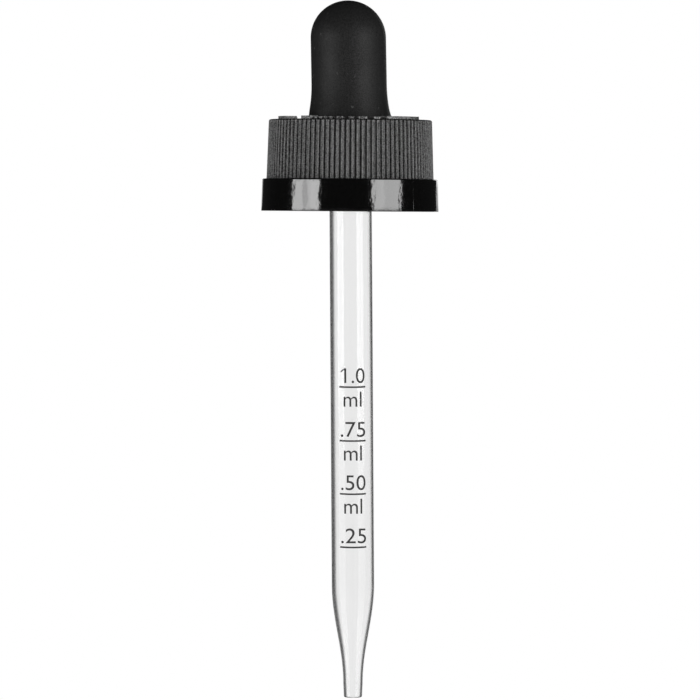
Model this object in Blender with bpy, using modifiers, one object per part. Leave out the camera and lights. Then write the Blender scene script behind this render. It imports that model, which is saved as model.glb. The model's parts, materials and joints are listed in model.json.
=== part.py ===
"""A child-resistant medicine dropper: a glass pipette hung in a rubber bulb, a threaded inner cap that
clamps the bulb to a bottle, and a ribbed outer cap that is pushed down to turn the inner one.

Metres, +Z up. The origin is on the axis, in the plane where the bottle's lip seats."""

import math

import bmesh
import bpy

MM = 0.001

# Glass pipette
TUBE_DIAMETER = 7.0 * MM
TUBE_WALL = 0.6 * MM
PIPETTE_REACH = 89.2 * MM  # from the bottle's lip down to the tip
TAPER_LENGTH = 16.5 * MM
TIP_DIAMETER = 3.2 * MM
TIP_LENGTH = 2.3 * MM
TIP_DRAFT = 0.1 * MM  # radius lost along the tip
TIP_WALL = 0.6 * MM
LIP_OVERHANG = 0.9 * MM  # the flared lip that hangs the tube in the bulb
LIP_HEIGHT = 1.2 * MM

# Rubber bulb
BULB_DIAMETER = 12.45 * MM
BULB_WALL = 1.3 * MM
BULB_HEIGHT = 19.7 * MM  # above the outer cap's top face
FLARE_HEIGHT = 5.9 * MM  # above that face, where the bulb starts to widen
FLARE_SINK = 0.4 * MM  # below that face, where it has widened fully
FLARE_WIDTH = 0.85 * MM  # radius gained
FLANGE_THICKNESS = 1.5 * MM
LIP_SEAT = 2.0 * MM  # the pipette's lip above the bottle's lip

# Inner cap, for a continuous-thread bottle neck
THREAD_WALL_DIAMETER = 20.2 * MM
THREAD_DEPTH = 0.9 * MM
THREAD_PITCH = 3.175 * MM
THREAD_CREST = 0.5 * MM
THREAD_ROOT = 1.3 * MM
THREAD_MARGIN = 0.9 * MM  # plain wall above and below the thread
INNER_WALL = 1.4 * MM
INNER_PANEL = 1.2 * MM
INNER_CHAMFER = 0.4 * MM
COLLAR_WIDTH = 0.8 * MM  # the rim that the outer cap's bead snaps under
COLLAR_HEIGHT = 1.0 * MM

# Push-and-turn drive between the two caps
PUSH_TRAVEL = 1.0 * MM  # also the height of a lug
LUG_COUNT = 8
LUG_ANGLE = math.radians(12)
LUG_EDGE = 0.3 * MM  # from a lug to the inner cap's outer wall
FINGER_COUNT = 4
FINGER_ANGLE = math.radians(56)
FINGER_WIDTH = 1.2 * MM
FINGER_THICKNESS = 0.45 * MM

# Outer cap
CAP_HEIGHT = 15.1 * MM
OUTER_PANEL = 1.3 * MM
OUTER_WALL = 1.28 * MM  # behind the grooves, at the top of the skirt
RIB_COUNT = 100
RIB_DEPTH = 0.35 * MM
SKIRT_DRAFT = 0.31 * MM  # radius gained from the top of the skirt to the band
SHOULDER_DROP = 0.4 * MM
SHOULDER_INSET = 0.15 * MM  # from the grooves to the flat top face
BAND_HEIGHT = 5.35 * MM
BAND_STEP = 0.71 * MM  # ledge between the ribs and the smooth band
BAND_DRAFT = 0.14 * MM
BAND_ROUND = 0.25 * MM
BEAD_HEIGHT = 0.8 * MM
BEAD_REACH = 0.35 * MM  # how far the bead reaches in under the collar

# Raised marks round the top face: angles in degrees from the front, positive to the right
MARK_HEIGHT = 0.45 * MM
MARK_WIDTH = 2.2 * MM
MARK_EDGE = 0.9 * MM
MARK_BARS = ((-80, -63), (-42, -32))
DASH_FIRST = -27
DASH_PITCH = 7
DASH_COUNT = 8
DASH_ANGLE = 4
ARROW_SHAFTS = ((30, 63), (113, 139))
ARROW_HEAD_LEAD = 6  # from the end of a shaft to the middle of its arrow's head
ARROW_HEAD_RADIUS = 1.2 * MM

# Clearances
FIT_GAP = 0.1 * MM  # between pieces that sit still on each other
RUN_GAP = 0.35 * MM  # beside pieces that move
STOP_GAP = 0.2 * MM  # between faces that meet at the end of a travel

# Fineness
ROUND_STEPS = 48
DOME_STEPS = 8
FLARE_STEPS = 5
TAPER_STEPS = 10
TIP_STEPS = 4
EMBED = 0.3 * MM  # how far shapes that are joined run into each other
OVERCUT = 1.0 * MM  # how far a cutter runs past a face
MERGE = 0.001 * MM

# Radii, from the axis outwards
TUBE_RADIUS = TUBE_DIAMETER / 2
BULB_RADIUS = BULB_DIAMETER / 2
LIP_RADIUS = TUBE_RADIUS + LIP_OVERHANG
NECK_RADIUS = BULB_RADIUS + FLARE_WIDTH
INNER_HOLE_RADIUS = NECK_RADIUS + FIT_GAP
OUTER_HOLE_RADIUS = NECK_RADIUS + RUN_GAP
THREAD_WALL_RADIUS = THREAD_WALL_DIAMETER / 2
FLANGE_RADIUS = THREAD_WALL_RADIUS - THREAD_DEPTH - RUN_GAP
INNER_RADIUS = THREAD_WALL_RADIUS + INNER_WALL
COLLAR_RADIUS = INNER_RADIUS + COLLAR_WIDTH
FINGER_RADIUS = OUTER_HOLE_RADIUS + RUN_GAP
LUG_INNER_RADIUS = FINGER_RADIUS + FINGER_WIDTH + RUN_GAP
LUG_OUTER_RADIUS = INNER_RADIUS - LUG_EDGE
GUIDE_RADIUS = INNER_RADIUS + RUN_GAP
RECESS_RADIUS = COLLAR_RADIUS + RUN_GAP
BEAD_RADIUS = COLLAR_RADIUS - BEAD_REACH
GROOVE_RADIUS = GUIDE_RADIUS + OUTER_WALL
SKIRT_TOP_RADIUS = GROOVE_RADIUS + RIB_DEPTH
SKIRT_BASE_RADIUS = SKIRT_TOP_RADIUS + SKIRT_DRAFT
TOP_FACE_RADIUS = GROOVE_RADIUS - SHOULDER_INSET
BAND_TOP_RADIUS = SKIRT_BASE_RADIUS + BAND_STEP
BAND_BASE_RADIUS = BAND_TOP_RADIUS + BAND_DRAFT
MARK_OUTER_RADIUS = TOP_FACE_RADIUS - MARK_EDGE

# Heights above the bottle's lip
INNER_UNDER_Z = FLANGE_THICKNESS + FIT_GAP
INNER_TOP_Z = INNER_UNDER_Z + INNER_PANEL
DRIVE_ROOM = 2 * PUSH_TRAVEL + STOP_GAP
OUTER_UNDER_Z = INNER_TOP_Z + DRIVE_ROOM
CAP_TOP_Z = OUTER_UNDER_Z + OUTER_PANEL
RIM_Z = CAP_TOP_Z - CAP_HEIGHT
INNER_BOTTOM_Z = RIM_Z + BEAD_HEIGHT + STOP_GAP
COLLAR_TOP_Z = INNER_BOTTOM_Z + COLLAR_HEIGHT


def arc(radius, height, size, start, end, steps):
    """Points of a circle's arc about (radius, height), from one angle to another, both included."""
    angles = [start + (end - start) * i / steps for i in range(steps + 1)]
    return [(radius + size * math.cos(a), height + size * math.sin(a)) for a in angles]


def place(name, mesh, collection, parent, height=0.0):
    """A new object on the axis, at a height above its parent."""
    piece = bpy.data.objects.new(name, mesh)
    piece.location.z = height
    piece.parent = parent
    collection.objects.link(piece)
    return piece


def turned(name, profile, collection, parent, height=0.0):
    """A solid turned about Z from (radius, z) points that run down its outer side first."""
    bm = bmesh.new()
    points = [bm.verts.new((radius, 0, z)) for radius, z in profile]
    for first, second in zip(points, points[1:]):
        bm.edges.new((first, second))
    if profile[0][0] > 0:
        bm.edges.new((points[-1], points[0]))
    mesh = bpy.data.meshes.new(name)
    bm.to_mesh(mesh)
    bm.free()
    piece = place(name, mesh, collection, parent, height)
    screw = piece.modifiers.new("turn", "SCREW")
    screw.steps = ROUND_STEPS
    screw.render_steps = ROUND_STEPS
    screw.use_merge_vertices = True
    screw.merge_threshold = MERGE
    screw.use_smooth_shade = True
    return piece


def add_sweep(bm, section, start, angle, rise=0.0):
    """Adds a solid: a section of (radius, z) points carried round the axis, climbing by rise on the way."""
    steps = max(1, round(ROUND_STEPS * angle / math.tau))
    corners = [bm.verts.new((r * math.cos(start), r * math.sin(start), z)) for r, z in section]
    face = bm.faces.new(corners)
    bmesh.ops.spin(
        bm, geom=[face], axis=(0, 0, 1), cent=(0, 0, 0), dvec=(0, 0, rise / steps), angle=angle, steps=steps
    )


def block(inner, outer, low, high):
    """A rectangular section for add_sweep."""
    return [(inner, low), (outer, low), (outer, high), (inner, high)]


def mesh_of(bm, name):
    bmesh.ops.recalc_face_normals(bm, faces=bm.faces)
    mesh = bpy.data.meshes.new(name)
    bm.to_mesh(mesh)
    bm.free()
    return mesh


def combine(piece, tool, operation):
    """Joins a helper shape to a piece, or cuts it out, and leaves the helper out of the part."""
    tool.hide_render = True
    tool.display_type = "WIRE"
    boolean = piece.modifiers.new(tool.name, "BOOLEAN")
    boolean.operation = operation
    boolean.solver = "EXACT"
    boolean.object = tool


def paint(piece, color, roughness, transmission=0.0):
    material = bpy.data.materials.new(piece.name)
    material.use_nodes = True
    shader = material.node_tree.nodes["Principled BSDF"]
    shader.inputs["Base Color"].default_value = (*color, 1)
    shader.inputs["Roughness"].default_value = roughness
    shader.inputs["Metallic"].default_value = 0
    shader.inputs["Transmission Weight"].default_value = transmission
    piece.data.materials.append(material)


def glass_pipette(parts, parent):
    """A straight tube with a flared lip, drawn down in a smooth S to a fire-polished tip."""

    def drawn(wide, narrow):
        low = TIP_LENGTH
        steps = [i / TAPER_STEPS for i in range(TAPER_STEPS + 1)]
        return [
            (narrow + (wide - narrow) * (1 - math.cos(math.pi * s)) / 2, low + TAPER_LENGTH * s)
            for s in steps
        ]

    top = PIPETTE_REACH + LIP_SEAT + FIT_GAP + LIP_HEIGHT
    tip_radius = TIP_DIAMETER / 2
    mouth_radius = tip_radius - TIP_DRAFT
    bore_radius = tip_radius - TIP_WALL
    polish = (mouth_radius - bore_radius) / 2
    outside = [
        (LIP_RADIUS, top),
        (LIP_RADIUS, top - LIP_HEIGHT),
        (TUBE_RADIUS, top - LIP_HEIGHT),
        *reversed(drawn(TUBE_RADIUS, tip_radius)),
    ]
    end = arc(bore_radius + polish, polish, polish, 0, -math.pi, TIP_STEPS)
    bore = [*drawn(TUBE_RADIUS - TUBE_WALL, bore_radius), (TUBE_RADIUS - TUBE_WALL, top)]
    piece = turned("glass_pipette", outside + end + bore, parts, parent, -PIPETTE_REACH)
    paint(piece, (0.95, 0.97, 0.97), 0.03, transmission=1.0)


def rubber_bulb(parts, parent):
    """A hollow bulb with a flared neck, a flange that seals on the bottle and a seat for the lip."""
    dome_z = CAP_TOP_Z + BULB_HEIGHT - BULB_RADIUS
    flare_z = CAP_TOP_Z + FLARE_HEIGHT
    flare_drop = FLARE_HEIGHT + FLARE_SINK
    flare_radius = (flare_drop**2 + FLARE_WIDTH**2) / (2 * FLARE_WIDTH)
    flare_angle = math.asin(flare_drop / flare_radius)
    chamber_radius = BULB_RADIUS - BULB_WALL
    socket_radius = LIP_RADIUS + FIT_GAP
    socket_top = LIP_SEAT + LIP_HEIGHT + 2 * FIT_GAP
    outside = [
        (0, dome_z + BULB_RADIUS),
        *arc(0, dome_z, BULB_RADIUS, math.pi / 2, 0, DOME_STEPS)[1:],
        *arc(BULB_RADIUS + flare_radius, flare_z, flare_radius, math.pi, math.pi + flare_angle, FLARE_STEPS),
        (NECK_RADIUS, FLANGE_THICKNESS),
        (FLANGE_RADIUS, FLANGE_THICKNESS),
        (FLANGE_RADIUS, 0),
    ]
    inside = [
        (TUBE_RADIUS + FIT_GAP, 0),
        (TUBE_RADIUS + FIT_GAP, LIP_SEAT),
        (socket_radius, LIP_SEAT),
        (socket_radius, socket_top),
        (chamber_radius, socket_top),
        *arc(0, dome_z, chamber_radius, 0, math.pi / 2, DOME_STEPS)[:-1],
        (0, dome_z + chamber_radius),
    ]
    piece = turned("rubber_bulb", outside + inside, parts, parent)
    paint(piece, (0.012, 0.012, 0.012), 0.6)


def lugs(name, low, high, phase, cutters, parent):
    """A ring of drive lugs, as one helper shape."""
    bm = bmesh.new()
    section = block(LUG_INNER_RADIUS, LUG_OUTER_RADIUS, low, high)
    for i in range(LUG_COUNT):
        middle = math.tau * (i + phase) / LUG_COUNT
        add_sweep(bm, section, middle - LUG_ANGLE / 2, LUG_ANGLE)
    return place(name, mesh_of(bm, name), cutters, parent)


def inner_cap(parts, cutters, parent):
    """The cap that screws on the bottle. Its own z = 0 is the underside of its panel."""
    bottom = INNER_BOTTOM_Z - INNER_UNDER_Z
    collar_top = COLLAR_TOP_Z - INNER_UNDER_Z
    shell = [
        (INNER_HOLE_RADIUS, INNER_PANEL),
        (INNER_RADIUS - INNER_CHAMFER, INNER_PANEL),
        (INNER_RADIUS, INNER_PANEL - INNER_CHAMFER),
        (INNER_RADIUS, collar_top),
        (COLLAR_RADIUS, collar_top),
        (COLLAR_RADIUS, bottom),
        (THREAD_WALL_RADIUS, bottom),
        (THREAD_WALL_RADIUS, 0),
        (INNER_HOLE_RADIUS, 0),
    ]
    piece = turned("inner_cap", shell, parts, parent, INNER_UNDER_Z)
    paint(piece, (0.016, 0.016, 0.017), 0.4)

    thread_low = bottom + THREAD_MARGIN + THREAD_ROOT / 2
    thread_high = -INNER_UNDER_Z - THREAD_MARGIN - THREAD_ROOT / 2
    turns = (thread_high - thread_low) / THREAD_PITCH
    ridge = [
        (THREAD_WALL_RADIUS + EMBED, thread_low - THREAD_ROOT / 2),
        (THREAD_WALL_RADIUS + EMBED, thread_low + THREAD_ROOT / 2),
        (THREAD_WALL_RADIUS - THREAD_DEPTH, thread_low + THREAD_CREST / 2),
        (THREAD_WALL_RADIUS - THREAD_DEPTH, thread_low - THREAD_CREST / 2),
    ]
    bm = bmesh.new()
    add_sweep(bm, ridge, 0, math.tau * turns, thread_high - thread_low)
    combine(piece, place("thread", mesh_of(bm, "thread"), cutters, piece), "UNION")
    drive = lugs("inner_lugs", INNER_PANEL - EMBED, INNER_PANEL + PUSH_TRAVEL, 0, cutters, piece)
    combine(piece, drive, "UNION")


def spring_fingers(parts, parent):
    """Sloping leaves between the two caps that lift the outer one again after a push."""
    rise = DRIVE_ROOM - 2 * FIT_GAP - FINGER_THICKNESS
    low = INNER_TOP_Z + FIT_GAP
    section = block(FINGER_RADIUS, FINGER_RADIUS + FINGER_WIDTH, low, low + FINGER_THICKNESS)
    for i in range(FINGER_COUNT):
        bm = bmesh.new()
        add_sweep(bm, section, math.tau * i / FINGER_COUNT, FINGER_ANGLE, rise)
        name = f"spring_finger_{i + 1}"
        paint(place(name, mesh_of(bm, name), parts, parent), (0.016, 0.016, 0.017), 0.4)


def ribbed_blank(name, collection, parent, height):
    """A solid frustum whose side carries the grip ribs, with a sloping shoulder up to the top face."""
    low = BAND_HEIGHT - EMBED
    high = CAP_HEIGHT - SHOULDER_DROP
    corners = 4 * RIB_COUNT
    bm = bmesh.new()
    bmesh.ops.create_cone(
        bm,
        cap_ends=True,
        segments=corners,
        radius1=SKIRT_BASE_RADIUS,
        radius2=SKIRT_TOP_RADIUS,
        depth=high - low,
    )
    bmesh.ops.translate(bm, verts=bm.verts, vec=(0, 0, (low + high) / 2))
    for corner in bm.verts:
        step = round(math.atan2(corner.co.y, corner.co.x) * corners / math.tau)
        if step // 2 % 2:
            corner.co.xy -= corner.co.xy.normalized() * RIB_DEPTH
    bm.normal_update()
    top = max(bm.faces, key=lambda face: face.calc_center_median().z)
    raised = bmesh.ops.extrude_face_region(bm, geom=[top])["geom"]
    bmesh.ops.delete(bm, geom=[top], context="FACES_ONLY")
    for corner in raised:
        if isinstance(corner, bmesh.types.BMVert):
            corner.co.xy = corner.co.xy.normalized() * TOP_FACE_RADIUS
            corner.co.z = CAP_HEIGHT
    return place(name, mesh_of(bm, name), collection, parent, height)


def raised_marks(cutters, parent):
    """Generic raised bars, dashes and turn arrows on the front and back of the top face."""
    low = CAP_HEIGHT - EMBED
    high = CAP_HEIGHT + MARK_HEIGHT
    section = block(MARK_OUTER_RADIUS - MARK_WIDTH, MARK_OUTER_RADIUS, low, high)
    dashes = [DASH_FIRST + DASH_PITCH * i for i in range(DASH_COUNT)]
    front = [*MARK_BARS, *((d - DASH_ANGLE / 2, d + DASH_ANGLE / 2) for d in dashes)]
    back = [(180 - last, 180 - first) for first, last in front]
    bm = bmesh.new()
    for first, last in (*front, *back, *ARROW_SHAFTS):
        add_sweep(bm, section, math.radians(first - 90), math.radians(last - first))
    for _, shaft_end in ARROW_SHAFTS:
        head = bmesh.ops.create_cone(
            bm,
            cap_ends=True,
            segments=3,
            radius1=ARROW_HEAD_RADIUS,
            radius2=ARROW_HEAD_RADIUS,
            depth=high - low,
        )["verts"]
        angle = math.radians(shaft_end + ARROW_HEAD_LEAD - 90)
        middle = MARK_OUTER_RADIUS - MARK_WIDTH / 2
        for corner in head:
            # The head's first corner points on round the face, in the arrow's direction.
            along, outward, _ = corner.co
            corner.co.x = (middle - outward) * math.cos(angle) - along * math.sin(angle)
            corner.co.y = (middle - outward) * math.sin(angle) + along * math.cos(angle)
            corner.co.z += (low + high) / 2
    return place("marks", mesh_of(bm, "marks"), cutters, parent)


def outer_cap(parts, cutters, parent):
    """The cap that the hand holds. Its own z = 0 is the bottom rim."""
    piece = ribbed_blank("outer_cap", parts, parent, RIM_Z)
    paint(piece, (0.014, 0.014, 0.015), 0.4)

    band = [
        (0, BAND_HEIGHT),
        (BAND_TOP_RADIUS - BAND_ROUND, BAND_HEIGHT),
        (BAND_TOP_RADIUS, BAND_HEIGHT - BAND_ROUND),
        (BAND_BASE_RADIUS, BAND_ROUND),
        (BAND_BASE_RADIUS - BAND_ROUND, 0),
        (0, 0),
    ]
    combine(piece, turned("band", band, cutters, piece), "UNION")
    combine(piece, raised_marks(cutters, piece), "UNION")

    under = OUTER_UNDER_Z - RIM_Z
    recess_top = COLLAR_TOP_Z - RIM_Z + PUSH_TRAVEL + RUN_GAP
    cavity = [
        (0, CAP_HEIGHT + OVERCUT),
        (OUTER_HOLE_RADIUS, CAP_HEIGHT + OVERCUT),
        (OUTER_HOLE_RADIUS, under),
        (GUIDE_RADIUS, under),
        (GUIDE_RADIUS, recess_top + RECESS_RADIUS - GUIDE_RADIUS),
        (RECESS_RADIUS, recess_top),
        (RECESS_RADIUS, BEAD_HEIGHT),
        (BEAD_RADIUS, BEAD_HEIGHT),
        (BEAD_RADIUS, -OVERCUT),
        (0, -OVERCUT),
    ]
    combine(piece, turned("cavity", cavity, cutters, piece), "DIFFERENCE")
    drive = lugs("outer_lugs", under - PUSH_TRAVEL, under + EMBED, 0.5, cutters, piece)
    combine(piece, drive, "UNION")


def main():
    for old in list(bpy.data.objects):
        bpy.data.objects.remove(old, do_unlink=True)
    parts = bpy.data.collections.new("medicine_dropper")
    cutters = bpy.data.collections.new("cutters")
    for collection in (parts, cutters):
        bpy.context.scene.collection.children.link(collection)

    dropper = place("dropper", None, parts, None)
    cap_turn = place("cap_turn_axis", None, parts, dropper)
    cap_press = place("cap_press_axis", None, parts, cap_turn)
    glass_pipette(parts, dropper)
    rubber_bulb(parts, dropper)
    inner_cap(parts, cutters, cap_turn)
    spring_fingers(parts, cap_turn)
    outer_cap(parts, cutters, cap_press)


main()
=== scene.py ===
"""Looks of the child-resistant medicine dropper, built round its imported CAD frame.

Metres, in the CAD's frame: the axis is Z, the bottle's lip seats at z = 0, and the printed front faces -Y."""

import json
import math

import bmesh
import bpy
from mathutils import Matrix, Vector


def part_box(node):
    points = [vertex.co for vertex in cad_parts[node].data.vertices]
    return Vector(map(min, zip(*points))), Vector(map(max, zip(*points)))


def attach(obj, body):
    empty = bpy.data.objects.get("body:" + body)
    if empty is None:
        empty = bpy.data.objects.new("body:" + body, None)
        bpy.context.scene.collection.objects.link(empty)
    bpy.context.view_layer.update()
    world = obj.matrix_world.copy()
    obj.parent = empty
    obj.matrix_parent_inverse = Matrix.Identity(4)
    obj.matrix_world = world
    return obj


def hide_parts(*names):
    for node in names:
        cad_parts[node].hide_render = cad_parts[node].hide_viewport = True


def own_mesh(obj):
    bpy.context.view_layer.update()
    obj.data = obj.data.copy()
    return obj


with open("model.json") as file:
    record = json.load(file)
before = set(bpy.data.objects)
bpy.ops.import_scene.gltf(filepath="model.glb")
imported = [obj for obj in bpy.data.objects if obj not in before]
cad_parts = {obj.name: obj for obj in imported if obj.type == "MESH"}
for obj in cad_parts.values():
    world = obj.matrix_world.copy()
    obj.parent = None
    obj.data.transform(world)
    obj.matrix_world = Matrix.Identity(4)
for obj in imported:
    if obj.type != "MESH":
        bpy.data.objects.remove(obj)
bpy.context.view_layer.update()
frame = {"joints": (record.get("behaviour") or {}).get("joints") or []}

MM = 0.001

# Places and sizes read from the frame
BULB_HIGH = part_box("rubber_bulb")[1]
CAP_LOW, CAP_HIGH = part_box("outer_cap")
INNER_LOW, INNER_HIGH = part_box("inner_cap")
TUBE_LOW, TUBE_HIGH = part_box("glass_pipette")
MARK_HEIGHT = 0.45 * MM  # of the CAD's marks, from the cap's top face to the top of its box
CAP_TOP_Z = CAP_HIGH.z - MARK_HEIGHT
RIM_Z = CAP_LOW.z
TIP_Z = TUBE_LOW.z
BAND_BASE_RADIUS = CAP_HIGH.x
COLLAR_RADIUS = INNER_HIGH.x
INNER_BOTTOM_Z = INNER_LOW.z
FLANGE_RADIUS = BULB_HIGH.x
LIP_RADIUS = TUBE_HIGH.x
LIP_TOP_Z = TUBE_HIGH.z
PUSH_TRAVEL = next(j for j in frame["joints"] if j["name"] == "cap_press")["range_m"][1]

# Meshes
ON_AXIS = 1e-9  # a radius below this is a single point
SWEEP_STEP = 2  # degrees, in blocks that run round the axis
SHARP_ANGLE = math.radians(38)  # between faces that aren't shaded as one curve
BEVEL_ANGLE = math.radians(40)  # between faces whose edge is softened
BEVEL_SEGMENTS = 2
SOFTENING = 0.08 * MM  # width of that bevel on marks and lugs
EMBED = 0.1 * MM  # how far a raised piece is sunk into what carries it

# Glass pipette
TUBE_RADIUS = 3.5 * MM
BORE_RADIUS = 2.9 * MM
TAPER_LENGTH = 16.5 * MM
TAPER_STEPS = 28
TIP_RADIUS = 1.6 * MM
TIP_BORE_RADIUS = 1.0 * MM
TIP_LENGTH = 2.3 * MM
TIP_DRAFT = 0.1 * MM
TAPER_LOW_Z = TIP_Z + TIP_LENGTH
TAPER_HIGH_Z = TAPER_LOW_Z + TAPER_LENGTH
LIP_HEIGHT = 1.2 * MM
LIP_ROUND = 0.2 * MM
TUBE_LEAN = 0.46 * MM  # to the right at the start of the taper, as the tube hangs in soft rubber
TUBE_FACETS = 128

# Rubber bulb
BULB_RADIUS = 6.225 * MM
BULB_WALL = 1.3 * MM
CHAMBER_RADIUS = BULB_RADIUS - BULB_WALL
NECK_RADIUS = 7.075 * MM
FLARE_HEIGHT = 5.9 * MM
FLARE_SINK = 0.4 * MM
SHELL_SINK = 0.9 * MM  # how far the squeezed shell reaches down into the cap's hole
FLANGE_THICKNESS = 1.5 * MM
LIP_SEAT = 2.0 * MM
BULB_LEAN = 0.36 * MM  # of the soft bulb's top, to the left
FOOT_LEAN_SHARE = 0.35  # of that lean, taken up by the bulb's foot
FOOT_LEAN_HEIGHT = 2 * MM  # of that foot, above the cap
BULB_FACETS = 144

# Seat inside the bulb's foot, which stays round when the bulb is pinched
SEAT_TUCK = 0.1 * MM  # between the seat and what lies next to it
SEAT_CROWN_RADIUS = 0.62 * CHAMBER_RADIUS
SEAT_BORE_RADIUS = 0.5 * CHAMBER_RADIUS
SEAT_ROUND = 1.6 * MM
SEAT_ROUND_HEIGHT = 3.4 * MM  # of that rounding's centre above the cap
SEAT_ROUND_ANGLES = (80, 40)
SEAT_WAIST_TUCK = 0.5 * MM  # inside the neck, where the seat leaves the cap's hole
SEAT_BEND = 0.3 * MM  # above and below the cap's top, where its side turns upright
SEAT_FACETS = 96

# Outer cap
OUTER_PANEL = 1.3 * MM
OUTER_UNDER_Z = CAP_TOP_Z - OUTER_PANEL
OUTER_HOLE_RADIUS = 7.425 * MM
CAP_EDGE = 0.15 * MM  # rounding of the hole, of the skirt's foot and of the bead
FILLET_SHARE = 0.3  # of a rounding's size, to the middle of its curve
SKIRT_TOP_RADIUS = 13.48 * MM
SKIRT_BASE_RADIUS = 13.79 * MM
SHOULDER_ROUND = 0.3 * MM
SHOULDER_STEPS = 6
# painted shade: these shoulder strips take the darker plain finish, for a dark line along the cap's top edge
SHADED_SHOULDER_STEPS = 5  # of the shoulder's, which share the top face's plain finish
BAND_TOP_RADIUS = 14.5 * MM
BAND_HEIGHT = 5.33 * MM
BAND_ROUND = 0.2 * MM
RIM_ROUND = 0.1 * MM
RIB_COUNT = 100
RIB_SAMPLES = 16
RIB_DEPTH = 0.42 * MM
RIB_FLANK = (0.55, 0.9)  # where a flank starts and ends, from 0 at a rib's middle to 1 at a groove's
CREST_REACH = 0.4  # where the dip in a rib's crest ends, on the same scale
CREST_DIP = 0.18  # of the ribs' depth
GUIDE_RADIUS = 11.85 * MM
RECESS_RADIUS = 12.65 * MM
RECESS_Z = RIM_Z + 3.35 * MM
BEAD_RADIUS = 11.95 * MM
BEAD_HEIGHT = 0.8 * MM
CAP_TILT = math.radians(0.4)  # how far the loose outer cap sits askew, its right side down
PARTING_ANGLE = math.radians(45.5)  # from the front, to the right
PARTING_HEIGHT = 0.023 * MM
PARTING_REACH = 0.12 * MM  # to each side

# Inner cap
INNER_TOP_Z = INNER_HIGH.z - PUSH_TRAVEL
INNER_PANEL = 1.2 * MM
INNER_RADIUS = 11.5 * MM
INNER_HOLE_RADIUS = 7.175 * MM
INNER_ROUND = 0.3 * MM
INNER_FACETS = 144
COLLAR_HEIGHT = 1.0 * MM
THREAD_WALL_RADIUS = 10.1 * MM
THREAD_DEPTH = 0.9 * MM
THREAD_PITCH = 3.175 * MM
THREAD_CREST = 0.5 * MM
THREAD_ROOT = 1.3 * MM
THREAD_MARGIN = 0.9 * MM
THREAD_FADE = 0.05  # of its length, over which each end runs out
THREAD_END_DEPTH = 0.02 * MM
THREAD_STEPS = 120  # in a turn
START_ANGLE = 90  # degrees from the front, where the thread and the rings of lugs and fingers start
LUG_COUNT = 8
LUG_ANGLE = 12
LUG_RADII = (9.325 * MM, 11.2 * MM)
FINGER_COUNT = 4
FINGER_ANGLE = 56
FINGER_RADII = (7.775 * MM, 8.975 * MM)
FINGER_THICKNESS = 0.45 * MM
FINGER_GAP = 0.1 * MM

# Raised marks on the cap's top face: degrees from the front, positive to the right
BAR_RISE = 0.5 * MM
DASH_RISE = 0.36 * MM
MARK_RADII = (9.88 * MM, 12.08 * MM)
MARK_BARS = ((-80, -63), (-42, -32))
MARK_DASHES = (
    (-29, -27), (-25, -23), (-21, -19), (-16.5, -14.5), (-11, -5.5), (-1.5, 3), (6.5, 13), (18.5, 24),
)
ARROW_SHAFTS = ((30, 63), (113, 139))
ARROW_HEADS = ((63.8, 75), (139.8, 150))
ARROW_HEAD_RADII = (9.3 * MM, 12.5 * MM)
ARROW_STEPS = 6
ARROW_POINT = 0.02  # of the head's width, left at its point

# Printed scale on the front of the tube. A word is its letters, its width and its shift to the right, in mm
PRINT_LINES_Z = tuple(RIM_Z - drop * MM for drop in (28.9, 37.78, 46.55, 55.33))
PRINT_WORDS = (("1.0", 3.5, 0.4), (".75", 4.25, 0.09), (".50", 4.25, 0.09), (".25", 4.35, 0.09))
UNIT_WORD = ("ml", 3.05, 0.03)
WORD_HEIGHT = 2.48 * MM
WORD_RISE = 0.6 * MM  # from a line up to its number
UNIT_DROP = 0.8 * MM  # from a line down to its unit
LINE_WIDTH = 4.6 * MM
LINE_THICKNESS = 0.27 * MM
LINE_SAG = 0.06 * MM
LINE_STEPS = 16
FLAG = ((0.0, 0.0), (-0.62, -0.5), (-0.62, -0.74), (0.0, -0.27))  # slanted stroke of the 1, from its top, mm
PRINT_SHIFT = 0.1 * MM  # the print's middle, to the right of the axis
WRAP_CUTS = 24  # strips in which the print bends round the tube
INK_LIFT = 0.01 * MM
INK_THICKNESS = 0.015 * MM

# Grip: a painted highlight along the cap's top makes its texture paler, up to this factor from the first
# height to the second
TOP_HIGHLIGHT_HEIGHTS = (CAP_TOP_Z - 0.5 * MM, CAP_TOP_Z + 0.1 * MM)
TOP_HIGHLIGHT_GAIN = 2.5

# Glass: painted edge shade, a grey of the wall by how far it turns from the eye, 0 straight on to 1 edge-on
PAINTED_EDGE_SHADE = (
    (0.30, 0.855), (0.38, 0.80), (0.44, 0.42), (0.50, 0.10),
    (0.57, 0.03), (0.66, 0.011), (0.80, 0.05), (1.0, 0.25),
)
# painted shade: the grey reaches further in at the tip
TIP_EDGE_SHADE_SHARE = 0.15  # how much further in the grey reaches at the tip, where the wall is thick for its bore
WALL_UNEVEN = 0.065
GLASS_IOR = 1.5
GLASS_SHEEN = (0.4, 0.4, 0.4, 1)

# Photograph: a square frame, its scale at the axis and where the cap's rim and the axis lie in it
PHOTO_SIDE = 700
PHOTO_PIXEL = 0.16535 * MM
PHOTO_RIM_ROW = 211.4
PHOTO_AXIS_COLUMN = 350.2
CAMERA_ROW = 215  # the row that is level with the camera
CAMERA_DISTANCE = 0.9
CAMERA_REACH = 20
SENSOR_WIDTH = 36.0  # mm

# Studio
FLOOR_DROP = 420 * MM  # below the pipette's tip
FLOOR_SIDE = 8.0
FLOOR_GREY = 0.35
FLOOR_GLOW = 0.92  # that the camera and the glass see on top of the lit floor
FILL_LIGHT = 0.35
DARK_ROOM = 0.02
BACKDROP_LEVEL = 0.6
BACKDROP_EDGE = (0.955, 0.985)  # cosine of the angle from straight behind at which the white backdrop ends
BACKDROP_FOOT = (-0.01, 0.0)  # sine of the angle from level at which it ends below

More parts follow.
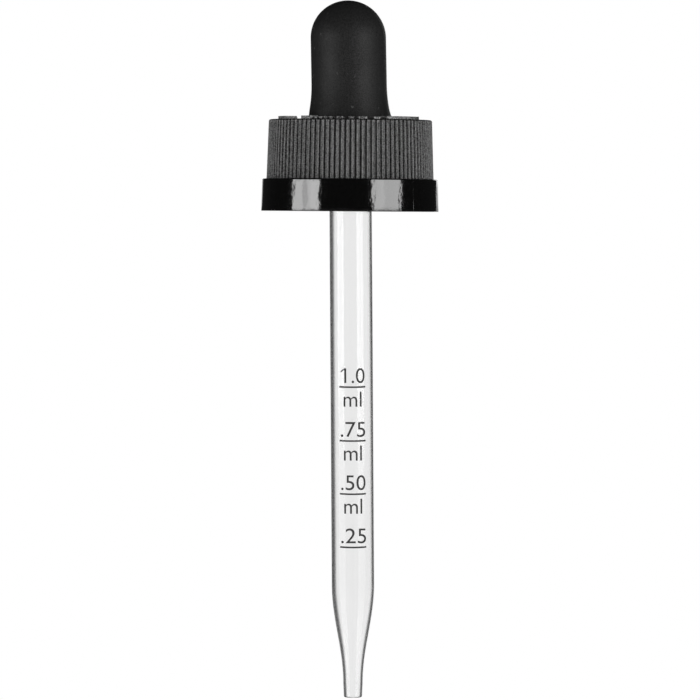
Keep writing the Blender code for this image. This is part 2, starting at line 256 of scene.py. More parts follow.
# Lamps: profiles are (place, brightness) across a lamp or up from its foot, azimuths are degrees from the
# camera's side, positive to the right, and heights are those of foot and top
LEFT_PROFILE = (
    (0.0, 0.0), (0.07, 0.85), (0.40, 0.89), (0.50, 0.62), (0.60, 0.85), (0.78, 1.0), (0.93, 1.0), (1.0, 0.0),
)
RIGHT_PROFILE = ((0.0, 0.0), (0.06, 0.97), (0.36, 1.0), (0.45, 0.865), (0.93, 0.87), (1.0, 0.0))
RIM_PROFILE = ((0.0, 0.0), (0.14, 1.0), (0.86, 1.0), (1.0, 0.0))
FOOT_FALLOFF = ((0.0, 0.6), (0.25, 0.42), (0.42, 0.28), (0.485, 0.3), (0.545, 1.0))
LEFT_TOP_FALLOFF = ((0.78, 1.0), (0.86, 0.0))
LAMPS = (
    dict(
        name="softbox_left", azimuth=-60.25, distance=0.5, width=0.376, heights=(-0.35, 0.2), radiance=11.2,
        across=LEFT_PROFILE, upward=(*FOOT_FALLOFF, *LEFT_TOP_FALLOFF),
    ),
    dict(
        name="softbox_right", azimuth=49.6, distance=0.5, width=0.376, heights=(-0.35, 0.2), radiance=10.1,
        across=RIGHT_PROFILE, upward=FOOT_FALLOFF,
    ),
    dict(
        name="rim_right", azimuth=160.5, distance=0.6, width=0.16, heights=(-0.2, 0.2), radiance=1.9,
        across=RIM_PROFILE, upward=FOOT_FALLOFF,
    ),
)


def smoothstep(low, high, value):
    t = min(1.0, max(0.0, (value - low) / (high - low)))
    return t * t * (3 - 2 * t)


def arc(radius, z, size, start, end, steps):
    """Points of a circle's arc about (radius, z), between two angles in degrees, both included."""
    angles = [math.radians(start + (end - start) * i / steps) for i in range(steps + 1)]
    return [(radius + size * math.cos(a), z + size * math.sin(a)) for a in angles]


def line(first, last, steps):
    """Points of a straight run, both ends included."""
    return [tuple(a + (b - a) * i / steps for a, b in zip(first, last)) for i in range(steps + 1)]


def new_piece(mesh, *materials):
    """An object of a mesh, under the mesh's name."""
    piece = bpy.data.objects.new(mesh.name, mesh)
    bpy.context.scene.collection.objects.link(piece)
    for material in materials:
        mesh.materials.append(material)
    mesh.shade_smooth()
    mesh.set_sharp_from_angle(angle=SHARP_ANGLE)
    return piece


def lathe(name, profile, steps, move=None, slot=None):
    """A mesh turned from (radius, z) points that run down its outer side first. move(x, y, z, ring) can
    shift a point, and slot(ring) picks the material of the strip after that ring."""
    points, rings = [], []
    for ring, (radius, z) in enumerate(profile):
        count = steps if radius > ON_AXIS else 1
        rings.append((len(points), count))
        for i in range(count):
            angle = math.tau * i / steps
            point = (radius * math.cos(angle), radius * math.sin(angle), z)
            points.append(move(*point, ring) if move else point)
    faces, slots = [], []
    pairs = list(zip(range(len(rings)), range(1, len(rings))))
    if profile[0][0] > ON_AXIS:
        pairs.append((len(rings) - 1, 0))
    for upper, lower in pairs:
        (a, count_a), (b, count_b) = rings[upper], rings[lower]
        for i in range(steps):
            j = (i + 1) % steps
            corners = [a + i % count_a, b + i % count_b, b + j % count_b, a + j % count_a]
            faces.append(tuple(dict.fromkeys(corners)))
            slots.append(slot(upper) if slot else 0)
    mesh = bpy.data.meshes.new(name)
    mesh.from_pydata(points, [], faces)
    mesh.polygons.foreach_set("material_index", slots)
    mesh.update()
    return mesh


def add_sweep(bm, sections):
    """Adds a solid through sections, each (angle in degrees from the front, [(radius, z), ...])."""
    rings = []
    for degrees, section in sections:
        angle = math.radians(degrees - 90)
        rings.append([bm.verts.new((r * math.cos(angle), r * math.sin(angle), z)) for r, z in section])
    for first, second in zip(rings, rings[1:]):
        for i in range(len(first)):
            j = (i + 1) % len(first)
            bm.faces.new((first[i], first[j], second[j], second[i]))
    bm.faces.new(rings[0][::-1])
    bm.faces.new(rings[-1])


def block(radii, low, high):
    return [(radii[0], low), (radii[1], low), (radii[1], high), (radii[0], high)]


def swept_block(bm, first, last, radii, low, high, rise=0.0):
    """Adds a block that runs round the axis between two angles in degrees and climbs by rise."""
    steps = max(2, round(abs(last - first) / SWEEP_STEP))
    shares = [i / steps for i in range(steps + 1)]
    add_sweep(
        bm,
        [(first + (last - first) * s, block(radii, low + rise * s, high + rise * s)) for s in shares],
    )


def mesh_from(bm, name):
    bmesh.ops.recalc_face_normals(bm, faces=bm.faces)
    mesh = bpy.data.meshes.new(name)
    bm.to_mesh(mesh)
    bm.free()
    return mesh


def soften(piece):
    """Rounds the edges of a moulded piece."""
    bevel = piece.modifiers.new("soften", "BEVEL")
    bevel.width = SOFTENING
    bevel.segments = BEVEL_SEGMENTS
    bevel.limit_method = "ANGLE"
    bevel.angle_limit = BEVEL_ANGLE


def fill_ramp(ramp, stops):
    """Gives a ramp node its (place, grey) stops."""
    elements = ramp.color_ramp.elements
    while len(elements) < len(stops):
        elements.new(0.5)
    for element, (place, grey) in zip(elements, stops):
        element.position = place
        element.color = (grey, grey, grey, 1)


def split_xyz(tree, vector):
    """The X, Y and Z sockets of a vector socket."""
    split = tree.nodes.new("ShaderNodeSeparateXYZ")
    tree.links.new(vector, split.inputs["Vector"])
    return split.outputs


def map_range(tree, value, source, target):
    """A socket that takes a value from one (low, high) range to another. A limit can be a socket itself."""
    node = tree.nodes.new("ShaderNodeMapRange")
    tree.links.new(value, node.inputs["Value"])
    for name, limit in zip(("From Min", "From Max", "To Min", "To Max"), (*source, *target)):
        if isinstance(limit, bpy.types.NodeSocket):
            tree.links.new(limit, node.inputs[name])
        else:
            node.inputs[name].default_value = limit
    return node.outputs["Result"]


class Nodes:
    """A new material's node tree, with short calls to fill it."""

    def __init__(self, name):
        self.material = bpy.data.materials.new(name)
        self.material.use_nodes = True
        self.tree = self.material.node_tree
        self.shader = self.tree.nodes["Principled BSDF"]

    def add(self, kind, **inputs):
        node = self.tree.nodes.new(kind)
        for key, value in inputs.items():
            node.inputs[key.replace("_", " ")].default_value = value
        return node

    def link(self, output, target):
        self.tree.links.new(output, target)

    def place(self):
        """The X, Y and Z of a point in the object's own space."""
        return split_xyz(self.tree, self.add("ShaderNodeTexCoord").outputs["Object"])

    def noise(self, size, detail=3.0, stretch=(1, 1, 1)):
        """A noise whose features are about size metres across, in the object's own space."""
        coordinates = self.add("ShaderNodeTexCoord")
        mapping = self.add("ShaderNodeMapping", Scale=stretch)
        noise = self.add("ShaderNodeTexNoise", Scale=1 / size, Detail=detail)
        self.link(coordinates.outputs["Object"], mapping.inputs["Vector"])
        self.link(mapping.outputs["Vector"], noise.inputs["Vector"])
        return noise.outputs["Fac"]

    def ramp(self, value, *stops):
        """A ramp through (place, grey) stops."""
        ramp = self.add("ShaderNodeValToRGB")
        fill_ramp(ramp, stops)
        self.link(value, ramp.inputs["Fac"])
        return ramp.outputs["Color"]

    def bump(self, *layers):
        """Stacks bumps, each (height, depth in metres, strength), on the shader."""
        normal = None
        for height, depth, strength in layers:
            bump = self.add("ShaderNodeBump", Strength=strength, Distance=depth)
            self.link(height, bump.inputs["Height"])
            if normal:
                self.link(normal, bump.inputs["Normal"])
            normal = bump.outputs["Normal"]
        self.link(normal, self.shader.inputs["Normal"])

    def set(self, **values):
        for key, value in values.items():
            self.shader.inputs[key.replace("_", " ")].default_value = value


def rubber_material():
    """Matte black rubber: a fine moulded grain, patches that shine a little more and a few specks of dust."""
    m = Nodes("bulb_rubber")
    patches = m.noise(5 * MM)
    grain = m.noise(0.16 * MM, detail=2)
    specks = m.noise(0.5 * MM, detail=1)
    dust = m.noise(0.8 * MM, detail=2)
    colour = m.add("ShaderNodeVectorMath")
    m.link(m.ramp(grain, (0.35, 0.003), (0.65, 0.014)), colour.inputs[0])
    m.link(m.ramp(dust, (0.70, 0.0), (0.76, 0.035)), colour.inputs[1])
    m.link(colour.outputs["Vector"], m.shader.inputs["Base Color"])
    m.link(m.ramp(patches, (0.25, 0.5), (0.75, 0.6)), m.shader.inputs["Roughness"])
    m.bump((grain, 0.02 * MM, 0.35), (specks, 0.03 * MM, 0.15))
    m.set(Specular_IOR_Level=0.115)
    return m.material


def textured_plastic():
    """Black moulded plastic with the fine spark texture of the ribbed grip, made paler at the cap's top by a
    painted highlight.
    """
    m = Nodes("cap_textured")
    spark = m.noise(0.22 * MM, detail=3)
    coarse = m.noise(0.6 * MM, detail=3)
    patches = m.noise(4 * MM)
    highlighted = m.add("ShaderNodeVectorMath")
    highlighted.operation = "SCALE"
    m.link(m.ramp(spark, (0.42, 0.003), (0.58, 0.074)), highlighted.inputs["Vector"])
    # painted highlight: the texture grows paler towards the cap's top and on the marks above it
    m.link(map_range(m.tree, m.place()["Z"], TOP_HIGHLIGHT_HEIGHTS, (1.0, TOP_HIGHLIGHT_GAIN)), highlighted.inputs["Scale"])
    m.link(highlighted.outputs["Vector"], m.shader.inputs["Base Color"])
    m.link(m.ramp(patches, (0.2, 0.42), (0.8, 0.52)), m.shader.inputs["Roughness"])
    m.bump((coarse, 0.03 * MM, 0.3), (spark, 0.05 * MM, 0.7))
    m.set(Specular_IOR_Level=0.42)
    return m.material


def glossy_plastic():
    """The polished band: a faint flow waviness and hairline handling scratches."""
    m = Nodes("cap_glossy")
    flow = m.noise(2.2 * MM, detail=2, stretch=(1, 1, 0.4))
    fine = m.noise(0.5 * MM, detail=2)
    scratches = m.noise(0.35 * MM, detail=4, stretch=(0.15, 0.15, 3))
    m.link(m.ramp(fine, (0.3, 0.001), (0.7, 0.0018)), m.shader.inputs["Base Color"])
    m.link(m.ramp(scratches, (0.45, 0.06), (0.75, 0.14)), m.shader.inputs["Roughness"])
    m.bump((flow, 0.12 * MM, 0.6), (fine, 0.03 * MM, 0.4))
    m.set(Specular_IOR_Level=0.5)
    return m.material


def plain_plastic():
    """Plain black moulded plastic of the inner cap, its springs and the outer cap's top."""
    m = Nodes("plain_plastic")
    grain = m.noise(0.2 * MM)
    patches = m.noise(3 * MM)
    m.link(m.ramp(patches, (0.3, 0.005), (0.7, 0.008)), m.shader.inputs["Base Color"])
    m.link(m.ramp(patches, (0.3, 0.3), (0.7, 0.42)), m.shader.inputs["Roughness"])
    m.bump((grain, 0.01 * MM, 0.3))
    m.set(Specular_IOR_Level=0.15)
    return m.material


def clear_glass():
    """Drawn glass: clear, with painted shade where its wall is edge-on, most on the left, where it is
    thickest.
    """
    m = Nodes("clear_glass")
    draw = m.noise(0.5 * MM, detail=2, stretch=(1, 1, 0.01))
    facing = m.add("ShaderNodeLayerWeight", Blend=0.5)
    place = m.place()
    edge = m.add("ShaderNodeMath")
    edge.operation = "MULTIPLY_ADD"
    edge.inputs[1].default_value = -WALL_UNEVEN / TUBE_RADIUS
    m.link(place["X"], edge.inputs[0])
    m.link(facing.outputs["Facing"], edge.inputs[2])
    tip_shade = map_range(m.tree, place["Z"], (TAPER_HIGH_Z, TAPER_LOW_Z), (0.0, TIP_EDGE_SHADE_SHARE))
    wall = m.add("ShaderNodeMath")
    m.link(edge.outputs["Value"], wall.inputs[0])
    m.link(tip_shade, wall.inputs[1])
    # painted edge shade in the base colour, by how far the wall turns from the eye
    m.link(m.ramp(wall.outputs["Value"], *PAINTED_EDGE_SHADE), m.shader.inputs["Base Color"])
    m.link(m.ramp(draw, (0.3, 0.06), (0.8, 0.1)), m.shader.inputs["Roughness"])
    m.bump((draw, 0.002 * MM, 0.06))
    m.set(IOR=GLASS_IOR, Transmission_Weight=1.0, Specular_Tint=GLASS_SHEEN)
    return m.material


def bore_glass():
    """The inside of the tube, without the outside's painted edge shade."""
    m = Nodes("bore_glass")
    draw = m.noise(0.7 * MM, detail=2, stretch=(1, 1, 0.01))
    m.link(m.ramp(draw, (0.3, 0.95), (0.7, 0.98)), m.shader.inputs["Base Color"])
    m.link(m.ramp(draw, (0.3, 0.02), (0.8, 0.05)), m.shader.inputs["Roughness"])
    m.bump((draw, 0.002 * MM, 0.06))
    m.set(IOR=GLASS_IOR, Transmission_Weight=1.0, Specular_Tint=GLASS_SHEEN)
    return m.material


def scale_ink():
    """Fired grey ink of slightly uneven density."""
    m = Nodes("scale_ink")
    density = m.noise(0.3 * MM, detail=3)
    m.link(m.ramp(density, (0.3, 0.022), (0.7, 0.04)), m.shader.inputs["Base Color"])
    m.link(m.ramp(density, (0.3, 0.7), (0.7, 0.85)), m.shader.inputs["Roughness"])
    m.bump((density, 0.004 * MM, 0.3))
    m.set(Specular_IOR_Level=0.1)
    return m.material


def leaning(x, y, z, _ring):
    """The soft bulb leans a little to the left above the cap."""
    foot = smoothstep(CAP_TOP_Z, CAP_TOP_Z + FOOT_LEAN_HEIGHT, z)
    rest = smoothstep(CAP_TOP_Z, BULB_HIGH.z, z)
    return (x - BULB_LEAN * (FOOT_LEAN_SHARE * foot + (1 - FOOT_LEAN_SHARE) * rest), y, z)


def rubber_bulb(material):
    """The squeezed bulb, and a seat inside its foot that stays round when the bulb is pinched."""
    dome_z = BULB_HIGH.z - BULB_RADIUS
    flare = NECK_RADIUS - BULB_RADIUS
    drop = FLARE_HEIGHT + FLARE_SINK
    flare_radius = (drop**2 + flare**2) / (2 * flare)
    flare_end = 180 + math.degrees(math.asin(drop / flare_radius))
    flare_z = CAP_TOP_Z + FLARE_HEIGHT
    skirt_z = CAP_TOP_Z - SHELL_SINK
    outside = [
        (0, BULB_HIGH.z),
        *arc(0, dome_z, BULB_RADIUS, 90, 0, 32)[1:],
        *line((BULB_RADIUS, dome_z), (BULB_RADIUS, flare_z), 10)[1:-1],
        *arc(BULB_RADIUS + flare_radius, flare_z, flare_radius, 180, flare_end, 16),
        (NECK_RADIUS, skirt_z),
    ]
    inside = [
        (CHAMBER_RADIUS, skirt_z),
        *line((CHAMBER_RADIUS, skirt_z), (CHAMBER_RADIUS, dome_z), 12)[1:],
        *arc(0, dome_z, CHAMBER_RADIUS, 0, 90, 20)[1:-1],
        (0, dome_z + CHAMBER_RADIUS),
    ]
    bulb = new_piece(lathe("rubber_bulb_shell", outside + inside, BULB_FACETS, leaning), material)
    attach(bulb, "bulb")
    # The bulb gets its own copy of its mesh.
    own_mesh(bulb)
    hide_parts("rubber_bulb")

    shoulder = [
        (SEAT_CROWN_RADIUS, flare_z),
        *arc(SEAT_CROWN_RADIUS, CAP_TOP_Z + SEAT_ROUND_HEIGHT, SEAT_ROUND, *SEAT_ROUND_ANGLES, 5),
        (NECK_RADIUS - SEAT_WAIST_TUCK, CAP_TOP_Z + SEAT_BEND),
        (NECK_RADIUS - SEAT_TUCK, CAP_TOP_Z - SEAT_BEND),
        (NECK_RADIUS - SEAT_TUCK, FLANGE_THICKNESS),
        (FLANGE_RADIUS - SEAT_TUCK, FLANGE_THICKNESS),
        (FLANGE_RADIUS, FLANGE_THICKNESS - SEAT_TUCK),
        (FLANGE_RADIUS, SEAT_TUCK),
        (FLANGE_RADIUS - SEAT_TUCK, 0),
        (TUBE_RADIUS + SEAT_TUCK, 0),
        (TUBE_RADIUS + SEAT_TUCK, LIP_SEAT),
        (LIP_RADIUS + SEAT_TUCK, LIP_SEAT),
        (LIP_RADIUS + SEAT_TUCK, LIP_TOP_Z + SEAT_TUCK),
        (SEAT_BORE_RADIUS, LIP_TOP_Z + SEAT_TUCK),
    ]
    seat = new_piece(lathe("bulb_seat", shoulder, SEAT_FACETS), material)
    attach(seat, "pipette")


def ride_outer_cap(piece):
    """Sets a piece of the loose outer cap slightly askew and lets it move with that cap."""
    piece.data.transform(Matrix.Rotation(CAP_TILT, 4, "Y"))
    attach(piece, "outer_cap")


def rib_groove(angle):
    """How deep the grip is at an angle, from 0 on a rib to 1 in a groove, with a shallow dip in the crest."""
    phase = (angle * RIB_COUNT / math.tau) % 1
    away = abs(2 * phase - 1)
    return smoothstep(*RIB_FLANK, away) + CREST_DIP * (1 - smoothstep(0.0, CREST_REACH, away))


def outer_cap(textured, glossy, plain):
    """One moulding: flat top with its hole, ribbed skirt, polished band and the hollow for the inner cap."""
    ledge_z = RIM_Z + BAND_HEIGHT
    corner_z = CAP_TOP_Z - SHOULDER_ROUND
    hole_edge = OUTER_HOLE_RADIUS + CAP_EDGE
    top_edge = SKIRT_TOP_RADIUS - SHOULDER_ROUND
    middle = CAP_EDGE * FILLET_SHARE
    top = [
        (OUTER_HOLE_RADIUS, CAP_TOP_Z - CAP_EDGE),
        *arc(hole_edge, CAP_TOP_Z - CAP_EDGE, CAP_EDGE, 180, 90, 3)[1:],
        *line((hole_edge, CAP_TOP_Z), (top_edge, CAP_TOP_Z), 4)[1:-1],
    ]
    shoulder = arc(top_edge, corner_z, SHOULDER_ROUND, 90, 0, SHOULDER_STEPS)
    skirt = line((SKIRT_TOP_RADIUS, corner_z), (SKIRT_BASE_RADIUS, ledge_z + CAP_EDGE), 4)[1:]
    foot = [(SKIRT_BASE_RADIUS + middle, ledge_z + middle), (SKIRT_BASE_RADIUS + CAP_EDGE, ledge_z)]
    band = [
        *arc(BAND_TOP_RADIUS - BAND_ROUND, ledge_z - BAND_ROUND, BAND_ROUND, 90, 0, 5),
        *line((BAND_TOP_RADIUS, ledge_z - BAND_ROUND), (BAND_BASE_RADIUS, RIM_Z + RIM_ROUND), 4)[1:-1],
        *arc(BAND_BASE_RADIUS - RIM_ROUND, RIM_Z + RIM_ROUND, RIM_ROUND, 0, -90, 4),
    ]
    hollow = [
        (BEAD_RADIUS + CAP_EDGE, RIM_Z),
        (BEAD_RADIUS, RIM_Z + CAP_EDGE),
        (BEAD_RADIUS, RIM_Z + BEAD_HEIGHT),
        (RECESS_RADIUS, RIM_Z + BEAD_HEIGHT),
        (RECESS_RADIUS, RECESS_Z),
        (GUIDE_RADIUS, RECESS_Z + RECESS_RADIUS - GUIDE_RADIUS),
        (GUIDE_RADIUS, OUTER_UNDER_Z),
        (OUTER_HOLE_RADIUS, OUTER_UNDER_Z),
    ]
    profile = top + shoulder + skirt + foot + band + hollow
    ribs_from, ribs_to = len(top), len(top + shoulder + skirt) + 1
    band_from, band_to = len(top + shoulder + skirt + foot), len(profile) - len(hollow)

    def mould(x, y, z, ring):
        radius = math.hypot(x, y)
        angle = math.atan2(y, x)
        if ribs_from < ring < ribs_to:
            fade = smoothstep(CAP_TOP_Z, corner_z, z)
            radius -= RIB_DEPTH * fade * rib_groove(angle)
        if band_from <= ring < band_to:
            for seam in (PARTING_ANGLE - math.pi / 2, PARTING_ANGLE + math.pi / 2):
                away = abs(math.remainder(angle - seam, math.tau)) * radius
                radius += PARTING_HEIGHT * (1 - smoothstep(0, PARTING_REACH, away))
        return (radius * math.cos(angle), radius * math.sin(angle), z)

    def finish(ring):
        """The slot of a strip: 0 textured, 1 glossy, 2 plain."""
        # the top face is plain, and its darker finish runs onto the shoulder as painted shade
        if ring < ribs_from + SHADED_SHOULDER_STEPS:
            return 2
        return int(band_from - 1 <= ring < band_to)

    mesh = lathe("outer_cap_shell", profile, RIB_COUNT * RIB_SAMPLES, mould, finish)
    cap = new_piece(mesh, textured, glossy, plain)
    ride_outer_cap(cap)
    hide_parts("outer_cap")


def drive_lugs(name, turn, low, high, material):
    """A ring of lugs between two heights, turned by a share of their spacing."""
    bm = bmesh.new()
    half = LUG_ANGLE / 2
    for i in range(LUG_COUNT):
        middle = START_ANGLE + 360 * (i + turn) / LUG_COUNT
        swept_block(bm, middle - half, middle + half, LUG_RADII, low, high)
    lugs = new_piece(mesh_from(bm, name), material)
    soften(lugs)
    return lugs


def cap_marks(material):
    """Generic raised bars, dashes and turn arrows on the top face, front and back, and the lugs below it."""
    bm = bmesh.new()
    low, high = CAP_TOP_Z - EMBED, CAP_TOP_Z + BAR_RISE
    for spans, top in ((MARK_BARS, high), (MARK_DASHES, CAP_TOP_Z + DASH_RISE)):
        for first, last in spans:
            swept_block(bm, first, last, MARK_RADII, low, top)
            swept_block(bm, 180 - last, 180 - first, MARK_RADII, low, top)
    for first, last in ARROW_SHAFTS:
        swept_block(bm, first, last, MARK_RADII, low, high)
    middle = sum(ARROW_HEAD_RADII) / 2
    half = (ARROW_HEAD_RADII[1] - ARROW_HEAD_RADII[0]) / 2
    for first, last in ARROW_HEADS:
        sections = []
        for i in range(ARROW_STEPS + 1):
            share = i / ARROW_STEPS
            reach = half * (1 + ARROW_POINT - share)
            head = block((middle - reach, middle + reach), low, high)
            sections.append((first + (last - first) * share, head))
        add_sweep(bm, sections)
    marks = new_piece(mesh_from(bm, "cap_marks"), material)
    soften(marks)
    ride_outer_cap(marks)

    low, high = OUTER_UNDER_Z - PUSH_TRAVEL, OUTER_UNDER_Z + EMBED
    ride_outer_cap(drive_lugs("outer_cap_lugs", 0.5, low, high, material))


def inner_cap(material):
    """The threaded cap, its drive lugs and the spring fingers that flatten under a push."""
    under_z = INNER_TOP_Z - INNER_PANEL
    collar_z = INNER_BOTTOM_Z + COLLAR_HEIGHT
    mouth = THREAD_WALL_RADIUS + INNER_ROUND
    profile = [
        (INNER_HOLE_RADIUS, INNER_TOP_Z),
        *arc(INNER_RADIUS - INNER_ROUND, INNER_TOP_Z - INNER_ROUND, INNER_ROUND, 90, 0, 4),
        (INNER_RADIUS, collar_z),
        *arc(COLLAR_RADIUS - INNER_ROUND, collar_z - INNER_ROUND, INNER_ROUND, 90, 0, 4),
        (COLLAR_RADIUS, INNER_BOTTOM_Z),
        (mouth, INNER_BOTTOM_Z),
        *arc(mouth, INNER_BOTTOM_Z + INNER_ROUND, INNER_ROUND, 270, 180, 4)[1:],
        (THREAD_WALL_RADIUS, under_z),
        (INNER_HOLE_RADIUS, under_z),
    ]
    shell = new_piece(lathe("inner_cap_shell", profile, INNER_FACETS), material)
    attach(shell, "inner_cap")
    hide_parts("inner_cap")

    low = INNER_BOTTOM_Z + THREAD_MARGIN + THREAD_ROOT / 2
    high = -THREAD_MARGIN - THREAD_ROOT / 2
    turns = (high - low) / THREAD_PITCH
    steps = round(THREAD_STEPS * turns)
    wall = THREAD_WALL_RADIUS + EMBED
    sections = []
    for i in range(steps + 1):
        share = i / steps
        fade = smoothstep(0, THREAD_FADE, share) * smoothstep(0, THREAD_FADE, 1 - share)
        crest = THREAD_WALL_RADIUS - (THREAD_DEPTH * fade + THREAD_END_DEPTH)
        z = low + (high - low) * share
        ridge = [
            (wall, z - THREAD_ROOT / 2), (wall, z + THREAD_ROOT / 2),
            (crest, z + THREAD_CREST / 2), (crest, z - THREAD_CREST / 2),
        ]
        sections.append((START_ANGLE + 360 * turns * share, ridge))
    bm = bmesh.new()
    add_sweep(bm, sections)
    thread = new_piece(mesh_from(bm, "inner_cap_thread"), material)
    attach(thread, "inner_cap")

    lugs = drive_lugs("inner_cap_lugs", 0, INNER_TOP_Z - EMBED, INNER_HIGH.z, material)
    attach(lugs, "inner_cap")

    free = OUTER_UNDER_Z - INNER_TOP_Z - 2 * FINGER_GAP
    rise = free - FINGER_THICKNESS
    foot = INNER_TOP_Z + FINGER_GAP
    for i in range(FINGER_COUNT):
        bm = bmesh.new()
        start = START_ANGLE + 360 * i / FINGER_COUNT
        swept_block(bm, start, start + FINGER_ANGLE, FINGER_RADII, foot, foot + FINGER_THICKNESS, rise)
        name = f"spring_finger_{i + 1}"
        finger = new_piece(mesh_from(bm, f"{name}_leaf"), material)
        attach(finger, "inner_cap")
        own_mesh(finger)
        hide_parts(name)


def drawn(wide, narrow):
    """The S-shaped draw from a tube's radius to its tip's, bottom to top."""
    shares = [i / TAPER_STEPS for i in range(TAPER_STEPS + 1)]
    return [
        (narrow + (wide - narrow) * (1 - math.cos(math.pi * s)) / 2, TAPER_LOW_Z + TAPER_LENGTH * s)
        for s in shares
    ]


def hanging(x, y, z, _ring=0):
    """The tube leans a little to the right below its lip."""
    share = (LIP_TOP_Z - z) / (LIP_TOP_Z - TAPER_HIGH_Z)
    return (x + TUBE_LEAN * min(1.0, share), y, z)


def glass_pipette(outer, inner):
    """The tube with its flared lip, S-shaped draw and fire-polished tip."""
    polish = (TIP_RADIUS - TIP_DRAFT - TIP_BORE_RADIUS) / 2
    lip_foot_z = LIP_TOP_Z - LIP_HEIGHT
    outside = [
        *arc(LIP_RADIUS - LIP_ROUND, LIP_TOP_Z - LIP_ROUND, LIP_ROUND, 90, 0, 4),
        *arc(LIP_RADIUS - LIP_ROUND, lip_foot_z + LIP_ROUND, LIP_ROUND, 0, -90, 4),
        (TUBE_RADIUS, lip_foot_z),
        *line((TUBE_RADIUS, lip_foot_z), (TUBE_RADIUS, TAPER_HIGH_Z), 20)[1:-1],
        *reversed(drawn(TUBE_RADIUS, TIP_RADIUS)),
    ]
    end = arc(TIP_BORE_RADIUS + polish, TIP_Z + polish, polish, 0, -180, 8)
    bore = [*drawn(BORE_RADIUS, TIP_BORE_RADIUS), (BORE_RADIUS, LIP_TOP_Z)]
    profile = outside + end + bore
    bore_from = len(outside + end) - 1
    mesh = lathe("glass_pipette_tube", profile, TUBE_FACETS, hanging, lambda ring: int(ring >= bore_from))
    tube = new_piece(mesh, outer, inner)
    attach(tube, "pipette")
    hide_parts("glass_pipette")


def flat_word(word, width):
    """A word as a flat mesh of a given width and the scale's height, middle at x = 0 and foot at y = 0."""
    text = bpy.data.curves.new(word, "FONT")
    text.body = word
    holder = bpy.data.objects.new(word, text)
    bpy.context.scene.collection.objects.link(holder)
    bpy.context.view_layer.update()
    mesh = bpy.data.meshes.new_from_object(holder.evaluated_get(bpy.context.evaluated_depsgraph_get()))
    bpy.data.objects.remove(holder)
    xs = [v.co.x for v in mesh.vertices]
    ys = [v.co.y for v in mesh.vertices]
    for v in mesh.vertices:
        v.co.x = (v.co.x - (min(xs) + max(xs)) / 2) * width / (max(xs) - min(xs))
        v.co.y = (v.co.y - min(ys)) * WORD_HEIGHT / (max(ys) - min(ys))
    return mesh


def printed_scale(material):
    """The millilitre scale: numbers over their lines, wrapped on the tube's front as a thin coat of ink."""
    bm = bmesh.new()

    def add(mesh, shift, foot_z):
        first = len(bm.verts)
        bm.from_mesh(mesh)
        bm.verts.ensure_lookup_table()
        for v in bm.verts[first:]:
            v.co.x += shift
            v.co.y += foot_z

    for z, (word, width, shift) in zip(PRINT_LINES_Z, PRINT_WORDS):
        add(flat_word(word, width * MM), shift * MM, z + WORD_RISE)
        if word.startswith("1"):
            left, top = (shift - width / 2) * MM, z + WORD_RISE + WORD_HEIGHT
            bm.faces.new([bm.verts.new((left + x * MM, top + y * MM, 0)) for x, y in FLAG])
        xs = [LINE_WIDTH * (i / LINE_STEPS - 0.5) for i in range(LINE_STEPS + 1)]
        sag = [LINE_SAG * ((2 * x / LINE_WIDTH) ** 2 - 1) for x in xs]
        upper = [bm.verts.new((x, z + s + LINE_THICKNESS / 2, 0)) for x, s in zip(xs, sag)]
        lower = [bm.verts.new((x, z + s - LINE_THICKNESS / 2, 0)) for x, s in zip(xs, sag)]
        for i in range(LINE_STEPS):
            bm.faces.new((lower[i], lower[i + 1], upper[i + 1], upper[i]))
    for z in PRINT_LINES_Z[:-1]:
        word, width, shift = UNIT_WORD
        add(flat_word(word, width * MM), shift * MM, z - UNIT_DROP - WORD_HEIGHT)

    for i in range(1, WRAP_CUTS):
        x = LINE_WIDTH * (i / WRAP_CUTS - 0.5)
        everything = bm.verts[:] + bm.edges[:] + bm.faces[:]
        bmesh.ops.bisect_plane(bm, geom=everything, plane_co=(x, 0, 0), plane_no=(1, 0, 0))
    reach = TUBE_RADIUS + INK_LIFT
    for v in bm.verts:
        angle = (v.co.x + PRINT_SHIFT) / TUBE_RADIUS
        v.co = hanging(reach * math.sin(angle), -reach * math.cos(angle), v.co.y)
    mesh = bpy.data.meshes.new("printed_scale")
    bm.to_mesh(mesh)
    bm.free()
    ink = new_piece(mesh, material)
    coat = ink.modifiers.new("coat", "SOLIDIFY")
    coat.thickness = INK_THICKNESS
    coat.offset = 1
    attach(ink, "pipette")


def camera():
    """Level with the cap's rim and pitched down to the middle of the frame, as in the photograph."""
    data = bpy.data.cameras.new("camera")
    middle = PHOTO_SIDE / 2
    pitch = math.atan((middle - CAMERA_ROW) * PHOTO_PIXEL / CAMERA_DISTANCE)
    data.sensor_width = SENSOR_WIDTH
    data.lens = SENSOR_WIDTH * CAMERA_DISTANCE / (math.cos(pitch) ** 2 * PHOTO_SIDE * PHOTO_PIXEL)
    data.clip_end = CAMERA_REACH
    view = bpy.data.objects.new("camera", data)
    x = (middle - PHOTO_AXIS_COLUMN) * PHOTO_PIXEL
    z = RIM_Z - (CAMERA_ROW - PHOTO_RIM_ROW) * PHOTO_PIXEL
    view.location = (x, -CAMERA_DISTANCE, z)
    view.rotation_euler = (math.pi / 2 - pitch, 0, 0)
    bpy.context.scene.collection.objects.link(view)
    bpy.context.scene.camera = view


def is_ray(tree, *kinds):
    """A socket that is 1 for rays of these kinds and 0 for others."""
    path = tree.nodes.new("ShaderNodeLightPath")
    total = path.outputs[kinds[0]]
    for kind in kinds[1:]:
        most = tree.nodes.new("ShaderNodeMath")
        most.operation = "MAXIMUM"
        tree.links.new(total, most.inputs[0])
        tree.links.new(path.outputs[kind], most.inputs[1])
        total = most.outputs[0]
    return total


